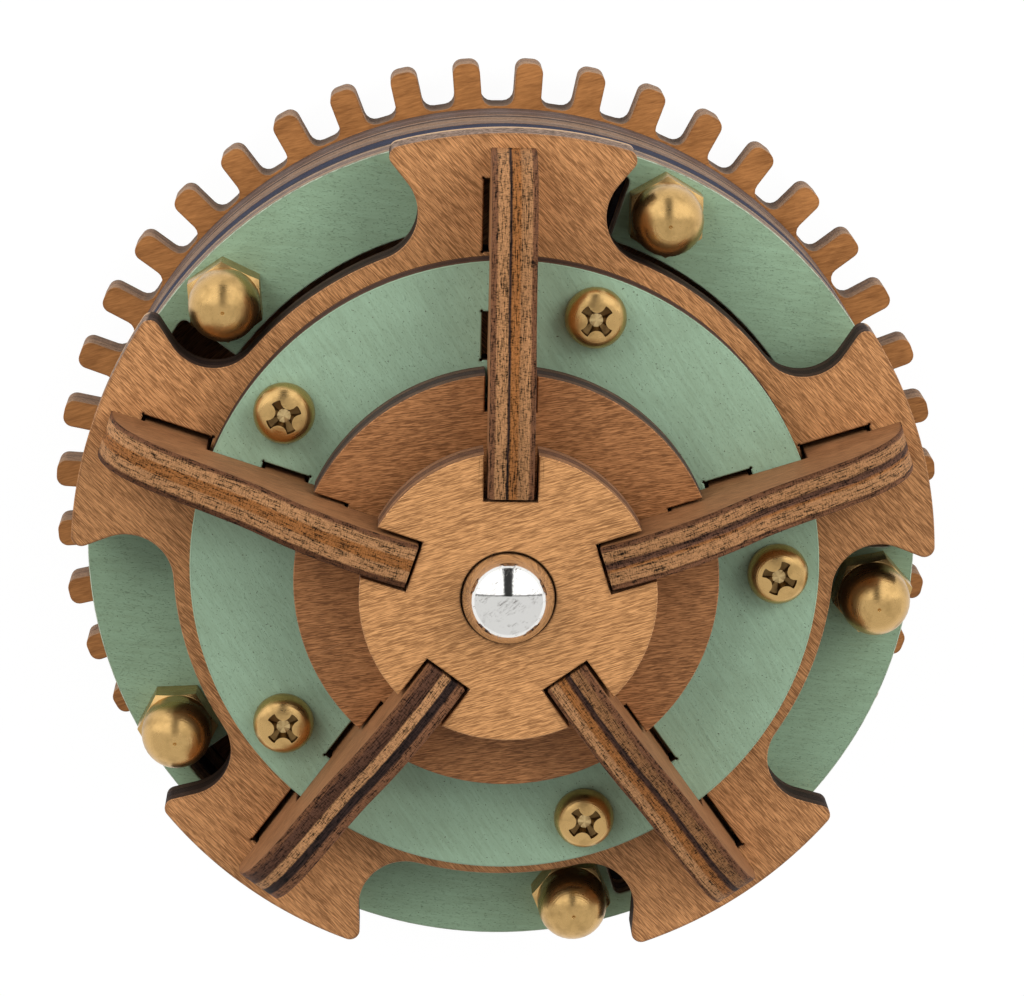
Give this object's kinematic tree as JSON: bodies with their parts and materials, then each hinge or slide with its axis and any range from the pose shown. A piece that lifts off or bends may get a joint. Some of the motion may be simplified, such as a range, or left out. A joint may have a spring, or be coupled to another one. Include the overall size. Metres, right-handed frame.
{
  "type": "wooden gear mechanism",
  "caption": "Toothed plywood drum and a ribbed spider that twists on it within stops, both turning on a central bolt under a steel ball.",
  "frame": {"origin": "centre of the rear flange's back face, on the axle's axis", "axes": "+Z along the axle, out of the front; +Y towards the spider's top arm at rest"},
  "size_m": [0.092, 0.092, 0.0455],
  "materials": {
    "flange_plywood": "bare, laser cut",
    "axle_steel": "plain steel",
    "axle_brass": "turned",
    "gear_plywood": "bare orange-brown plywood with scorched edges",
    "drum_plywood": "bare plywood with scorched edges",
    "dark_plywood": "stained nearly black",
    "green_paint": "sage green paint over plywood, matt",
    "arm_plywood": "bare reddish brown plywood with scorched edges",
    "mid_plywood": "bare dark brown plywood",
    "hub_plywood": "bare light tan plywood",
    "rib_plywood": "bare plywood seen on its scorched edge",
    "fastener_brass": "satin",
    "ball_chrome": "polished"
  },
  "bodies": {
    "axle": {"rear_flange": "flange_plywood", "axle_bolt": "axle_steel", "thrust_washer": "axle_brass", "spacer_tube": "axle_brass", "axle_washer": "axle_steel", "axle_nut": "axle_steel"},
    "drum": {"gear_wheel": "gear_plywood", "drum_web": "drum_plywood", "drum_bush": "axle_brass", "drum_ring_rear": "drum_plywood", "drum_ring_front": "drum_plywood", "groove_ring": "dark_plywood", "base_plate": "green_paint", "clamp_screw_1": "fastener_brass", "clamp_screw_2": "fastener_brass", "clamp_screw_3": "fastener_brass", "clamp_screw_4": "fastener_brass", "clamp_screw_5": "fastener_brass", "domed_nut_1": "fastener_brass", "domed_nut_2": "fastener_brass", "domed_nut_3": "fastener_brass", "domed_nut_4": "fastener_brass", "domed_nut_5": "fastener_brass"},
    "spider": {"arm_plate": "arm_plywood", "arm_bush": "axle_brass", "painted_ring": "green_paint", "mid_disc": "mid_plywood", "hub_spacer": "mid_plywood", "hub_disc": "hub_plywood", "steel_ball": "ball_chrome", "rib_1": "rib_plywood", "rib_2": "rib_plywood", "rib_3": "rib_plywood", "rib_4": "rib_plywood", "rib_5": "rib_plywood", "ring_screw_1": "fastener_brass", "ring_screw_2": "fastener_brass", "ring_screw_3": "fastener_brass", "ring_screw_4": "fastener_brass", "ring_screw_5": "fastener_brass", "ring_nut_1": "fastener_brass", "ring_nut_2": "fastener_brass", "ring_nut_3": "fastener_brass", "ring_nut_4": "fastener_brass", "ring_nut_5": "fastener_brass"}
  },
  "joints": [
    {"name": "drum_turn", "type": "hinge", "parent": "axle", "child": "drum", "pos_m": [0, 0, 0.007], "axis": [0, 0, 1], "continuous": true},
    {"name": "spider_twist", "type": "hinge", "parent": "drum", "child": "spider", "pos_m": [0, 0, 0.0267], "axis": [0, 0, 1], "range_deg": [-2.3, 26.3]}
  ]
}
